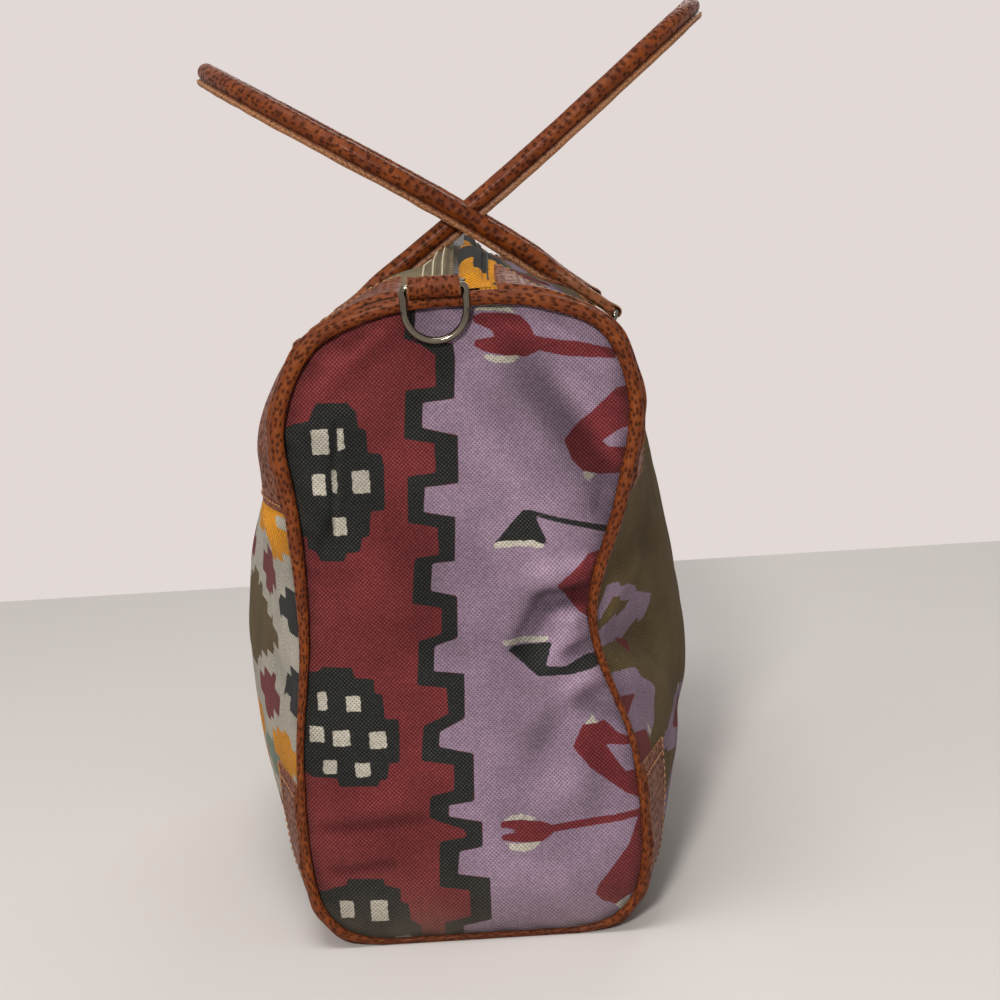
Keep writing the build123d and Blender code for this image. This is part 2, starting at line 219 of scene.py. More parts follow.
MEDALLIONS = [
    [(-60, 259), (-46, 258.5), (-42, 254), (-41.5, 247), (-38, 245.5), (-38, 235), (-32, 234), (-31, 229), (-32, 208),
     (-38.5, 208), (-40, 196), (-43.5, 196), (-44.5, 189.5), (-51, 189), (-52, 185.5), (-63.5, 186), (-65, 190),
     (-69, 192), (-69, 197), (-76, 198), (-86, 209), (-86, 232), (-76, 248), (-71, 250), (-64, 251), (-62.5, 255)],
    [(-66.5, 136), (-52.5, 135.5), (-51, 130.5), (-42.5, 129.5), (-42.5, 122.5), (-39, 122), (-38.5, 110), (-32, 110),
     (-33, 89), (-38, 89), (-39.5, 81), (-43, 81), (-44, 78), (-62, 79), (-63, 83), (-75, 84), (-88, 92), (-88, 128),
     (-75, 133.5), (-67, 134)],
    [(-61.5, 34.5), (-44.5, 33.5), (-44, 30.5), (-37, 28.5), (-37, 22), (-33.5, 21), (-33, 12.5), (-28.5, 9), (-28, -6),
     (-90, -6), (-90, 27), (-73, 28), (-67, 30.5), (-62, 31.5)],
]
SQUARES = [
    (-63.5, 247, -55.5, 235.5), (-51.5, 247, -48.5, 237), (-64.5, 226.5, -58.5, 216.5), (-55.5, 228, -53, 217.5),
    (-46, 227, -38, 216.5), (-56.5, 206, -50, 197.5), (-69.5, 124.5, -65, 115.5), (-56, 122, -49.5, 114.5),
    (-74.5, 108, -67.5, 100.5), (-63.5, 106, -55.5, 98.5), (-46.5, 104.5, -38.5, 96.5), (-69, 92, -62.5, 85.5),
    (-54, 90, -47, 83), (-66, 23.5, -59.5, 14.5), (-51.5, 23.5, -43.5, 12.5), (-41, 3.5, -33.5, -6),
]
BLACKS = [
    [(31, 204.5), (34.5, 204.5), (46.5, 200.5), (82, 190.5), (82, 187), (45, 198.5), (36.5, 201.5), (42, 188),
     (28.5, 190), (17, 189.5)],
    [(19.5, 139.5), (41, 142.5), (37.5, 131.5), (46.5, 130), (56.5, 134.5), (76, 135.5), (76, 131.5), (48.5, 126),
     (33.5, 126.5)],
]
REDS = [
    [(13.5, 294), (18, 295.5), (30, 294.5), (35.5, 293), (39.5, 288.5), (41, 284), (51, 281.5), (61, 280), (78, 275),
     (78, 271), (54, 274), (43, 277), (37, 274.5), (29, 275), (18, 278), (13.5, 281), (14, 283.5), (23, 284.5),
     (22, 287.5),
     (14, 291.5)],
    [(52, 235), (60, 244), (77, 257.5), (88, 259), (88, 241), (77, 238.5), (69, 234), (72.5, 231), (88, 229),
     (88, 218),
     (68, 218), (60, 220), (55, 226)],
    [(60.5, 182), (80, 184), (80, 132), (68, 140), (60.5, 150), (52, 158), (44.5, 168)],
    [(53, 101.5), (63.5, 102.5), (69.5, 96), (84, 89), (72, 90), (63, 91.5), (72, 77.5), (84, 78), (84, 60),
     (72.5, 67),
     (56, 80), (48, 91.5)],
    [(12, 58), (21, 58.5), (31, 57), (36, 55), (88, 59.5), (88, 56), (37, 51.5), (31.5, 47.5), (21.5, 47.5), (12, 49),
     (12, 51.5), (23, 52.8), (12, 55)],
    [(77, 55), (72, 43), (56.5, 24.5), (54.5, 20), (57.5, 16), (64, 13), (71, 17), (90, 28), (90, 54)],
]
WHITES = [
    [(14, 296.5), (17, 299), (23.5, 299), (30.5, 297.5), (33.5, 294.5), (23.5, 296)],
    [(16, 277.5), (20, 276.5), (25.5, 275.5), (35, 275), (31.5, 272.5), (25.5, 272), (20, 273.5)],
    [(58.5, 220.5), (66, 218.5), (62, 215)],
    [(15.5, 189), (20.5, 190.5), (28.5, 190.5), (35.5, 190), (40.5, 187.5), (39, 186), (28.5, 188), (17, 187)],
    [(17.5, 143.5), (39.5, 145), (39, 142.5), (19.5, 140.5)],
    [(53.5, 101), (57.5, 105.5), (61, 102)],
    [(13.5, 58.5), (17, 60.5), (21.5, 61), (28, 59.5), (30, 57), (21.5, 58.5)],
    [(13.5, 47.5), (21.5, 47), (31, 47.5), (27, 44), (20.5, 43), (16, 44.5)],
    [(64, 13), (71, 17), (70.5, 11), (66, 10)],
]


def end_print(x, z):
    """The inks of an end panel, lowest first."""
    band = BAND_LEFT + BAND_RIGHT[::-1]
    return {
        "ink_1": inside_outline(x, z, BAND_RIGHT + [(120, -6), (120, 330), (-12, 330)]),
        "ink_2": shapes(x, z, [band] + MEDALLIONS + BLACKS),
        "ink_3": shapes(x, z, REDS),
        "ink_4": union(boxes(x, z, SQUARES), shapes(x, z, WHITES)),
    }


def swing(value, low, high):
    """value folded back and forth between low and high, for a print that mirrors as it repeats."""
    return low + (high - low) - np.abs((value - low) % (2 * (high - low)) - (high - low))


def repeat(value, middle, period):
    """value measured from the nearest of a row of middles."""
    return (value - middle + period / 2) % period - period / 2


def front_print(y, s):
    """The inks of the front panel: stepped diamonds and crosses on an off-white ground."""
    a, b = repeat(y, -100.0, 220.0), repeat(s, 142.0, 124.0)
    beside, over = np.abs(a), np.abs(b)
    ochre = inside_steps(beside - 86, over - 53, [(26, 6), (14, 11)])
    return {
        "ink_1": inside_steps(beside - 48, over - 60, [(22, 4), (11, 8)]),
        "ink_2": union(ochre, inside_steps(a, over - 54, [(24, 5), (13, 9)])),
        "ink_3": inside_steps(beside - 50, over - 31, [(30, 5), (15, 11)]),
        "ink_4": inside_steps(beside - 110, over - 19, [(26, 5), (14, 11)]),
        "ink_5": inside_steps(a, b, [(76, 4), (60, 9), (44, 14), (27, 19), (12, 24)]),
        "ink_6": s - 300,
    }


BACK_LAVENDER = [
    [(-4, 150), (8, 165), (35, 160), (73, 147), (60, 139), (22, 134), (0, 138), (-4, 145), (14, 146), (45, 149),
     (12, 158), (4, 150)],
    [(-4, 126), (20, 119), (40, 106), (30, 92), (16, 85), (-4, 88)],
    [(34, 74), (62, 84), (104, 93), (140, 86), (140, 66), (90, 62), (60, 70)],
]
BACK_RED = [
    [(21, 139), (36, 133), (28, 127)],
    [(-4, 114), (15, 108), (-4, 102)],
    [(-4, 95), (16, 90), (22, 72), (-4, 66)],
    [(66, 79), (102, 87), (132, 80), (100, 70)],
]
BACK_WHITE = [
    [(20, 92), (24, 86), (18, 84)],
    [(104, 95), (110, 90), (100, 89)],
    [(92, 78), (108, 82), (118, 77), (104, 73)],
]


def back_print(y, s):
    """The inks of the back panel: hooked forms on an olive ground, and a stepped border by the zip."""
    a, b = swing(y + HALF_LENGTH, 0.0, 140.0), swing(s, 60.0, 200.0)
    step_a = repeat(y, -172.0, 105.0)
    return {
        "ink_1": shapes(a, b, BACK_LAVENDER),
        "ink_2": shapes(a, b, BACK_RED),
        "ink_3": shapes(a, b, BACK_WHITE),
        "ink_4": s - 338,
        "ink_5": boxes(step_a, s, [(-46, 364, -14, 351), (-46, 367, 2, 360), (-28, 354, 12, 345)]),
    }


# Materials
def start_material(name):
    """A new material with its nodes, and its surface shader."""
    made = bpy.data.materials.new(name)
    made.use_nodes = True
    return made, made.node_tree, made.node_tree.nodes["Principled BSDF"]


def feed(tree, socket, value):
    """Sets a socket to a value, or links it from another socket."""
    if isinstance(value, bpy.types.NodeSocket):
        tree.links.new(value, socket)
    else:
        socket.default_value = value


def node(tree, kind, inputs=(), **settings):
    """A shader node with its settings and inputs, which go by number or by name."""
    made = tree.nodes.new("ShaderNode" + kind)
    for key, value in settings.items():
        setattr(made, key, value)
    for key, value in dict(inputs).items():
        feed(tree, made.inputs[key], value)
    return made


def calc(tree, operation, *values):
    """A Math node's result."""
    made = node(tree, "Math", operation=operation)
    for socket, value in zip(made.inputs, values):
        feed(tree, socket, value)
    return made.outputs[0]


def span(tree, value, low, high, to_low=0.0, to_high=1.0, smooth=True):
    """value carried from low..high to to_low..to_high, and held at its ends."""
    inputs = {"Value": value, "From Min": low, "From Max": high, "To Min": to_low, "To Max": to_high}
    kind = "SMOOTHSTEP" if smooth else "LINEAR"
    return node(tree, "MapRange", inputs, interpolation_type=kind).outputs[0]


def blend(tree, amount, first, second, way="MIX"):
    """Colours mixed by an amount."""
    made = node(tree, "Mix", data_type="RGBA", blend_type=way)
    for number, value in ((0, amount), (6, first), (7, second)):
        feed(tree, made.inputs[number], value)
    return made.outputs[2]


def times(tree, first, *others):
    """The product of several values."""
    for other in others:
        first = calc(tree, "MULTIPLY", first, other)
    return first


def grey(tree, shade):
    """A grey of that brightness, for shading a colour."""
    return node(tree, "CombineColor", {0: shade, 1: shade, 2: shade}).outputs[0]


def field(tree, name, output="Fac"):
    """A value or, as "Vector", a direction pair that the mesh carries at its points."""
    return node(tree, "Attribute", attribute_name=name).outputs[output]


def noise(tree, vector, scale, detail=2.0, rough=0.5):
    """Smooth noise from 0 to 1, with scale waves a unit of the vector."""
    inputs = {"Vector": vector, "Scale": scale, "Detail": detail, "Roughness": rough}
    return node(tree, "TexNoise", inputs).outputs["Fac"]


def linear(*values):
    """A colour written as it looks, 0 to 255, for a shader."""
    return tuple(((v / 255 + 0.055) / 1.055) ** 2.4 if v > 10 else v / 255 / 12.92 for v in values) + (1.0,)


INK = {
    "maroon": linear(118, 44, 47), "lavender": linear(150, 127, 148), "charcoal": linear(34, 37, 36),
    "white": linear(194, 188, 174), "ochre": linear(226, 150, 18), "olive": linear(100, 82, 46),
    "sage": linear(126, 142, 126), "red": linear(118, 42, 48), "khaki": linear(132, 118, 88),
}
THREAD = 1.95
# Tint mixed in by the field of floor dirt and painted shade: dirt towards the base, and painted shade in the zip tape's
# grooves.
DIRT_AND_SHADE_TINT = linear(120, 108, 92)


def canvas_material(name, ground, inks):
    """Printed plain-weave canvas: inks laid over a ground by the fields ink_1, ink_2 and so on, with painted highlight
    and painted shade on its weave and in its folds.
    """
    made, tree, shader = start_material(name)
    cloth = field(tree, "cloth", "Vector")
    parts = node(tree, "SeparateXYZ", {0: cloth}).outputs
    weave = times(tree, *[calc(tree, "SINE", times(tree, part, 2 * math.pi / THREAD)) for part in parts[:2]])
    slub = noise(tree, cloth, 0.45, 3.0)
    fine = noise(tree, cloth, 2.2, 2.0)
    broad = noise(tree, cloth, 0.03, 3.0)
    wander = times(tree, calc(tree, "SUBTRACT", slub, 0.5), 1.4)
    colour = INK[ground]
    for number, ink in enumerate(inks, 1):
        reach = calc(tree, "ADD", field(tree, f"ink_{number}"), wander)
        colour = blend(tree, span(tree, reach, -0.25, 0.25), colour, INK[ink])
    # Painted highlight: the raised yarn tops are mixed, in patches, towards a brighter copy of the colour.
    wear_and_painted_light = times(tree, span(tree, weave, 0.1, 0.7), span(tree, fine, 0.3, 0.7, 0.22, 0.8))
    yarn_highlight = blend(tree, 1.0, colour, (1.7, 1.66, 1.6, 1.0), "MULTIPLY")
    colour = blend(tree, wear_and_painted_light, colour, blend(tree, 0.17, yarn_highlight, linear(206, 186, 178)))
    # Painted shade: the gaps between the yarns are darkened. The fold field darkens the creases' valleys and lightens
    # their ridges as painted shade and highlight, and darkens the panels' edges beside the piping.
    gap_shade = span(tree, weave, -0.7, 0.2, 0.62, 1.0)
    mottled = times(tree, span(tree, broad, 0.3, 0.7, 0.84, 1.14), span(tree, slub, 0.3, 0.7, 0.88, 1.1))
    fold_shade = span(tree, field(tree, "fold"), -1.0, 1.0, 0.42, 1.3, smooth=False)
    colour = blend(tree, 1.0, colour, grey(tree, times(tree, gap_shade, mottled, fold_shade)), "MULTIPLY")
    # Floor dirt towards the base, and painted shade in the zip tape's grooves, mixed in by one field.
    dirt_shade_mix = times(tree, field(tree, "dirt_and_shade"), span(tree, broad, 0.3, 0.7, 0.5, 1.0))
    colour = blend(tree, dirt_shade_mix, colour, DIRT_AND_SHADE_TINT)
    feed(tree, shader.inputs["Base Color"], colour)
    shader.inputs["Roughness"].default_value = 0.88
    shader.inputs["Specular IOR Level"].default_value = 0.1
    shader.inputs["Sheen Weight"].default_value = 0.04
    height = calc(tree, "ADD", times(tree, weave, weave), times(tree, fine, 0.5))
    bump = node(tree, "Bump", {"Height": height, "Distance": 0.0003, "Strength": 1.0})
    feed(tree, shader.inputs["Normal"], bump.outputs[0])
    return made


END_CANVAS = canvas_material("end_canvas", "maroon", ["lavender", "charcoal", "red", "white"])
FRONT_CANVAS = canvas_material("front_canvas", "white", ["sage", "ochre", "maroon", "charcoal", "olive", "khaki"])
BACK_CANVAS = canvas_material("back_canvas", "olive", ["lavender", "maroon", "white", "charcoal", "ochre"])
PLAIN_CANVAS = canvas_material("plain_canvas", "khaki", [])


def leather_material(name, base, light, dark, shine):
    """Polished leather with oblong dark pits in loose rows; wear lightens its edges, and one field darkens it with
    floor dirt and with painted shade in its seams and creases.
    """
    made, tree, shader = start_material(name)
    hide = field(tree, "cloth", "Vector")
    warp = node(tree, "TexNoise", {"Vector": hide, "Scale": 0.35}).outputs["Color"]
    shifted = node(tree, "VectorMath", {0: hide, 1: warp}, operation="ADD").outputs[0]
    stretched = node(tree, "Mapping", {"Vector": shifted, "Scale": (0.25, 0.44, 1.0)}).outputs[0]
    inputs = {"Vector": stretched, "Scale": 1.0, "Randomness": 0.8}
    pits = node(tree, "TexVoronoi", inputs, voronoi_dimensions="2D")
    size = noise(tree, hide, 0.5, 1.0)
    reach = calc(tree, "SUBTRACT", pits.outputs["Distance"], span(tree, size, 0.3, 0.75, 0.0, 0.16))
    pit = span(tree, reach, 0.03, 0.38, 1.0, 0.0)
    grain = noise(tree, hide, 1.7, 3.0, 0.6)
    broad = noise(tree, hide, 0.11, 3.0)
    colour = blend(tree, span(tree, broad, 0.3, 0.72), linear(*base), linear(*light))
    colour = blend(tree, span(tree, grain, 0.42, 0.7, 0.0, 0.5), colour, linear(*dark))
    colour = blend(tree, times(tree, pit, 0.8), colour, linear(44, 16, 6))
    wear_and_painted_light = times(tree, field(tree, "wear"), span(tree, grain, 0.35, 0.6))
    colour = blend(tree, wear_and_painted_light, colour, linear(188, 138, 100))
    # Floor dirt, together with painted shade along the piping's seam and in the handles' creases, darkens the leather
    # here.
    colour = blend(tree, field(tree, "dirt_and_shade"), colour, linear(52, 24, 14))
    feed(tree, shader.inputs["Base Color"], colour)
    gloss = span(tree, grain, 0.3, 0.7, shine, shine + 0.22)
    feed(tree, shader.inputs["Roughness"], calc(tree, "ADD", gloss, times(tree, pit, 0.4)))
    shader.inputs["Specular IOR Level"].default_value = 0.16
    shader.inputs["Coat Weight"].default_value = 0.03
    shader.inputs["Coat Roughness"].default_value = 0.2
    height = calc(tree, "SUBTRACT", times(tree, grain, 0.5), pit)
    bump = node(tree, "Bump", {"Height": height, "Distance": 0.0004, "Strength": 0.9})
    feed(tree, shader.inputs["Normal"], bump.outputs[0])
    return made


def thread_material(name, colour):
    """Twisted sewing thread, slightly fuzzy."""
    made, tree, shader = start_material(name)
    spot = node(tree, "TexCoord").outputs["Object"]
    twist = noise(tree, spot, 1400.0, 2.0)
    shade = span(tree, twist, 0.3, 0.7, 0.7, 1.1)
    feed(tree, shader.inputs["Base Color"], blend(tree, 1.0, linear(*colour), grey(tree, shade), "MULTIPLY"))
    shader.inputs["Roughness"].default_value = 0.8
    bump = node(tree, "Bump", {"Height": twist, "Distance": 0.0002, "Strength": 0.6})
    feed(tree, shader.inputs["Normal"], bump.outputs[0])
    return made


def metal_material(name, colour, rough, metallic=1.0):
    """Plated metal or moulded plastic, faintly scratched and dulled in patches."""
    made, tree, shader = start_material(name)
    spot = node(tree, "TexCoord").outputs["Object"]
    dull = noise(tree, spot, 90.0, 3.0, 0.5)
    scratched = noise(tree, node(tree, "Mapping", {"Vector": spot, "Scale": (300, 2500, 300)}).outputs[0], 1.0, 3.0)
    tint = span(tree, dull, 0.3, 0.7, 0.85, 1.05)
    feed(tree, shader.inputs["Base Color"], blend(tree, 1.0, linear(*colour), grey(tree, tint), "MULTIPLY"))
    shader.inputs["Metallic"].default_value = metallic
    feed(tree, shader.inputs["Roughness"], span(tree, dull, 0.25, 0.75, rough, rough + 0.09))
    bump = node(tree, "Bump", {"Height": scratched, "Distance": 0.00001, "Strength": 0.3})
    feed(tree, shader.inputs["Normal"], bump.outputs[0])
    return made


LEATHER = leather_material("leather", (102, 44, 12), (134, 66, 22), (60, 24, 7), 0.34)
THREAD_COLOURS = {"tan": (176, 128, 88), "pale": (206, 194, 168), "dark": (70, 70, 64)}
THREADS = {name: thread_material(name + "_thread", colour) for name, colour in THREAD_COLOURS.items()}
NICKEL = metal_material("nickel", (112, 106, 94), 0.06)
DARK_PLASTIC = metal_material("zip_plastic", (52, 48, 42), 0.38, 0.0)
for node_name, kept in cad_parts.items():
    if "ring" in node_name and "tab" not in node_name or node_name in ("zip_slider", "zip_pull"):
        finish = NICKEL
    elif node_name.startswith(("zip_teeth", "zip_stop")):
        finish = DARK_PLASTIC
    else:
        finish = PLAIN_CANVAS
    kept.data.materials.clear()
    kept.data.materials.append(finish)


# The bag's surface: folds and puckers of slack canvas stand on the outline
def crease(px, pz, lines):
    """Soft ridges and valleys: lines are (x, z, x, z, width, height), and a point by one is lifted by it."""
    lift = np.zeros(np.shape(px))
    for ax, az, bx, bz, wide, high in lines:
        ex, ez = bx - ax, bz - az
        length = math.hypot(ex, ez)
        along = ((px - ax) * ex + (pz - az) * ez) / length
        off = ((px - ax) * ez - (pz - az) * ex) / length
        fade = 1 / (1 + np.exp(-along / (0.5 * wide))) / (1 + np.exp((along - length) / (0.5 * wide)))
        lift += high * fade * np.exp(-((off / wide) ** 2))
    return lift


def ripple(px, pz, size, seed):
    """Gentle uneven waves, about 1 high, made from a few slanted sine waves."""
    draw = np.random.default_rng(seed)
    lift = np.zeros(np.shape(px))
    for _ in range(7):
        turn, phase, scale = draw.uniform(0, math.tau, 3) * (1, 1, 1 / math.tau)
        wave = size * (0.6 + 0.9 * scale)
        lift += np.sin(math.tau * (px * math.cos(turn) + pz * math.sin(turn)) / wave + phase)
    return lift / 4


SIDE_CREASES = {
    -1: [
        (-205, 205, -120, 190, 10, 2.5), (-205, 120, -150, 132, 8, -2.0), (-150, 262, -120, 215, 9, -2.0),
        (-95, 255, -80, 190, 12, 2.0), (95, 255, 70, 185, 12, 2.0), (-60, 70, 40, 60, 14, 2.0),
        (205, 190, 120, 150, 14, 2.5), (205, 140, 150, 130, 8, -3.0), (60, 40, 140, 52, 9, -1.5),
    ],
    1: [
        (-205, 150, -150, 172, 9, 3.0), (-208, 140, -140, 132, 8, -3.5), (-208, 128, -150, 104, 9, 3.0),
        (-160, 178, -110, 168, 8, -2.0), (-95, 255, -85, 200, 12, 2.0), (95, 255, 80, 195, 12, 2.0),
        (-120, 90, -40, 62, 13, -2.0), (0, 120, 80, 90, 16, 2.0), (205, 200, 140, 180, 10, -2.0),
    ],
}


# The slack flap beside each end of the zip: its y and length, and each side's place, width and height
FLAP_Y, FLAP_LENGTH = -152.0, 42.0
FRONT_FLAP, BACK_FLAP = (9.1, 0.55, 7.5), (9.55, 0.4, 6.5)
PUCKER_HEIGHT, PUCKER_REACH, SEAM_REACH = 0.45, 14.0, 12.0


def skin(y, place, grow=0.0):
    """Points of the dressed bag at y and a place, folds included, and the height gained by them."""
    y = np.asarray(y, float) + 0 * np.asarray(place, float)
    x, z, nx, nz = outline(y, place)
    side = np.where(np.asarray(place) + 0 * y > 0, 1, -1)
    from_seam = HALF_LENGTH - np.abs(y)
    lift = np.where(side > 0, crease(y, z, SIDE_CREASES[1]), crease(y, z, SIDE_CREASES[-1]))
    lift = lift + 0.9 * ripple(y, z + 400 * side, 95, 3) + 0.35 * ripple(y, z + 400 * side, 34, 5)
    pucker = PUCKER_HEIGHT * np.sin(z / 3.1 + 2 * np.sin(z / 17)) * np.exp(-from_seam / PUCKER_REACH)
    middle, wide, high = [np.where(side < 0, front, back) for front, back in zip(FRONT_FLAP, BACK_FLAP)]
    flap = high * np.exp(-(((y - FLAP_Y) / FLAP_LENGTH) ** 2) - ((np.abs(place) - middle) / wide) ** 2)
    near_seams = np.clip(from_seam / SEAM_REACH, 0, 1) * np.clip((9.9 - np.abs(place)) / 0.4, 0, 1)
    flat_base = np.clip((np.abs(place) - 1.0) / 0.9, 0, 1)
    lift = (lift * near_seams + pucker + flap) * flat_base - 0.36 * np.maximum(1 - from_seam, 0) ** 2
    return x + (lift + grow) * nx, np.maximum(z + (lift + grow) * nz, 0.0), lift


SEAM = 1.6


def soil_near_floor(z, reach=26.0, most=0.5):
    """Floor dirt, strongest at the base."""
    return most * np.exp(-np.maximum(z, 0) / reach)


def side_panel(name, side, first, last, columns, material, print_of, hides):
    """A panel of the bag between two places, full length, with its print."""
    ys = np.linspace(-HALF_LENGTH - SEAM, HALF_LENGTH + SEAM, 213)
    places = np.linspace(first, last, columns)
    y, place = np.meshgrid(ys, places, indexing="ij")
    x, z, lift = skin(y, side * place)
    plain_x, plain_z, _, _ = outline(y, side * place)
    steps = np.hypot(np.diff(plain_x, axis=1), np.diff(plain_z, axis=1))
    s = np.concatenate([np.zeros((len(ys), 1)), np.cumsum(steps, 1)], 1)
    middle = np.argmin(np.abs(plain_z - 150) + 999 * (np.abs(place) < 2), axis=1)
    s = s - s[np.arange(len(ys)), middle][:, None] + 150
    # Painted shade in the fold valleys and painted highlight on their ridges, below place 8, and painted shade along
    # each end beside the piping.
    fold_shade = np.clip(0.16 * lift * (place < 8), -0.7, 0.5) - 0.45 * np.exp(-(HALF_LENGTH - np.abs(y)) / 5)
    fields = {**print_of(y, s), "cloth": cloth_field(y, s), "dirt_and_shade": soil_near_floor(z), "fold": fold_shade}
    layer(name, x, y, z, side > 0, material, hides, fields)


LAST_PLACE = ZIP_PLACE - SLOT
side_panel("front_cloth", -1, BASE_EDGE, LAST_PLACE, 190, FRONT_CANVAS, front_print, ["front_panel"])
side_panel("back_cloth", 1, BASE_EDGE, LAST_PLACE, 190, BACK_CANVAS, back_print, ["back_panel"])


END_CREASES = [
    (-8, 298, -52, 262, 5.5, -1.6), (-20, 300, -66, 258, 5, 1.5), (-34, 296, -72, 250, 5, -1.5),
    (-44, 290, -76, 240, 5, 1.2),
    (-52, 250, -58, 196, 1.6, -1.6), (-49.5, 246, -55, 196, 1.8, 1.5), (-57, 206, -66, 186, 2.5, -1.5),
    (74, 165, 36, 161, 4.0, -7.5), (76, 176, 34, 174, 5.5, 5.0), (40, 163, 24, 138, 5.0, -5.5),
    (54, 150, 34, 126, 6, 4.6),
    (76, 152, 46, 153, 4.0, 6.0), (72, 142, 46, 136, 3.6, -6.0), (78, 134, 46, 118, 6, 4.2),
    (74, 124, 50, 112, 4, -3.4),
    (30, 280, 74, 205, 10, -4.2), (52, 266, 80, 226, 7, 3.2), (16, 246, 50, 190, 12, 2.8),
    (64, 208, 76, 188, 5, -2.6),
    (14, 262, 40, 214, 9, -2.4), (42, 110, 30, 88, 6, -2.8), (52, 112, 74, 102, 5, -2.2), (60, 96, 56, 56, 7, -2.2),
    (-72, 58, -22, 61, 3.0, -2.4), (-70, 37, -38, 40, 2.6, -2.2), (-30, 205, -8, 140, 13, -2.0),
    (-20, 110, 6, 60, 15, 1.8),
    (-72, 66, -30, 72, 6, 1.2), (-10, 30, 60, 36, 14, 1.4), (-66, 150, -30, 176, 12, 1.2), (60, 88, 30, 60, 10, 1.2),
]


def welt_radius(place, end):
    """The piping's radius: full over the top, drawn in at the waist, and trodden thin under the base."""
    height = np.abs(place)
    waist = np.where(place * end < 0, 0.95, 0.62) * np.exp(-(((height - 4.3) / 1.5) ** 2))
    thinner = 0.30 * np.clip((5.8 - height) / 1.5, 0, 1) + 0.26 * waist + 0.24 * np.clip(1.9 - height, 0, 1)
    return PIPING_RADIUS * (0.97 - thinner)


def rim_line(first, last, count, end):
    """Points along the inner edge of the piping, from one place to another."""
    places = np.linspace(first, last, count)
    radius = welt_radius(places, end)
    x, z, _, _ = outline(end * HALF_LENGTH, places, -2 * radius + 0.9)
    return np.stack([x, np.maximum(z, 2 * radius - 1.4)], -1)


END_CROWN, CROWN_REACH, GATHERS_ABOVE = 6.4, 26.0, 170.0


def end_cloth(end_name, end, creases, mirror):
    """An end panel: a crowned patch between four stretches of the rim, with its folds and its print."""
    rows, columns = 236, 134
    low, high = 1.9, 8.25
    left, right = rim_line(-low, -high, rows, end), rim_line(low, high, rows, end)
    bottom, top = rim_line(-low, low, columns, end), rim_line(-high, high - 20, columns, end)
    up, across = np.meshgrid(np.linspace(0, 1, rows), np.linspace(0, 1, columns), indexing="ij")
    u, v = across[..., None], up[..., None]
    sides = (1 - u) * left[:, None] + u * right[:, None] + (1 - v) * bottom[None] + v * top[None]
    corners = (1 - u) * (1 - v) * left[0] + u * (1 - v) * right[0] + (1 - u) * v * left[-1] + u * v * right[-1]
    x, z = np.moveaxis(sides - corners, -1, 0)
    rim = [tuple(p) for p in np.concatenate([bottom[:-1], right[:-1], top[::-1][:-1], left[::-1][:-1]])[::4]]
    depth = np.maximum(inside_outline(x, z, rim), 0)
    crown = END_CROWN * (1 - (1 - np.clip(depth / CROWN_REACH, 0, 1)) ** 2.6)
    px = mirror * x
    creased = crease(px, z, creases)
    folds = creased + 1.1 * ripple(px, z, 70, 11) + 0.45 * ripple(px, z, 26, 12)
    gathers = 1.2 * ripple((px + z) * 2.2, (px - z) * 0.8, 30, 13) * np.exp(-depth / 16)
    pucker = 0.4 * np.sin((x + z) / 2.9 + 1.5 * np.sin(z / 13)) * np.exp(-depth / 7) + gathers * (z > GATHERS_ABOVE)
    y = end * (HALF_LENGTH - 0.6 + crown + folds * np.clip(depth / 7, 0, 1) + pucker)
    # Floor dirt towards the base, with a thin tint along the rim. The fold values are painted shade and highlight of
    # the creases and puckers, and painted shade along the rim under the piping.
    fields = {
        **end_print(px, z),
        "cloth": cloth_field(x, z),
        "dirt_and_shade": soil_near_floor(z, 14.0, 0.55) + 0.12 * np.exp(-depth / 2.0),
        "fold": np.clip(0.25 * creased + 0.2 * pucker, -0.9, 0.7) - 0.5 * np.exp(-depth / 2.4),
    }
    hides = ["end_panel_" + end_name]
    layer("end_cloth_" + end_name, x, y, z, end > 0, END_CANVAS, hides, fields)


end_cloth("near", -1, END_CREASES, 1)
end_cloth("far", 1, END_CREASES[:4] + END_CREASES[14:], -1)


# Leather and thread pieces
def sweep(name, path, across, up, section, body, material, hides, fields, closed=False):
    """A closed section carried along a path: sections are (across, up) pairs, one set or one at each point."""
    path, across, up = [np.asarray(item, float) for item in (path, across, up)]
    section = np.broadcast_to(np.asarray(section, float), (len(path),) + np.shape(section)[-2:])
    rings = path[:, None] + section[..., :1] * across[:, None] + section[..., 1:] * up[:, None]
    rows, columns = rings.shape[:2]
    along = run_along(path)
    girth = np.linalg.norm(np.diff(section[0], axis=0, append=section[0][:1]), axis=1)
    round_it = np.concatenate([[0], np.cumsum(girth)[:-1]])
    cloth = np.stack([along[:, None] + 0 * round_it, round_it[None] + 0 * along[:, None], 0 * rings[..., 0]], -1)
    faces = grid_faces(rows, columns, wrap=True)
    if closed:
        last = grid_faces(2, columns, wrap=True) + (rows - 1) * columns
        last[:, 2:] -= rows * columns
        faces = np.concatenate([faces, last])
    faces = faces.tolist()
    values = {key: np.broadcast_to(value, rings.shape[:2]).ravel() for key, value in fields.items()}
    if not closed:
        for row, flip in ((0, 1), (rows - 1, -1)):
            ring = list(range(row * columns, (row + 1) * columns))
            faces.append(ring[::flip])
    values["cloth"] = cloth.reshape(-1, 3)
    piece(name, rings, faces, body, material, hides, values)


def circle(radius, count=24):
    """Points round a circle."""
    turn = np.linspace(0, math.tau, count, endpoint=False)
    return np.stack([radius * np.cos(turn), radius * np.sin(turn)], -1)


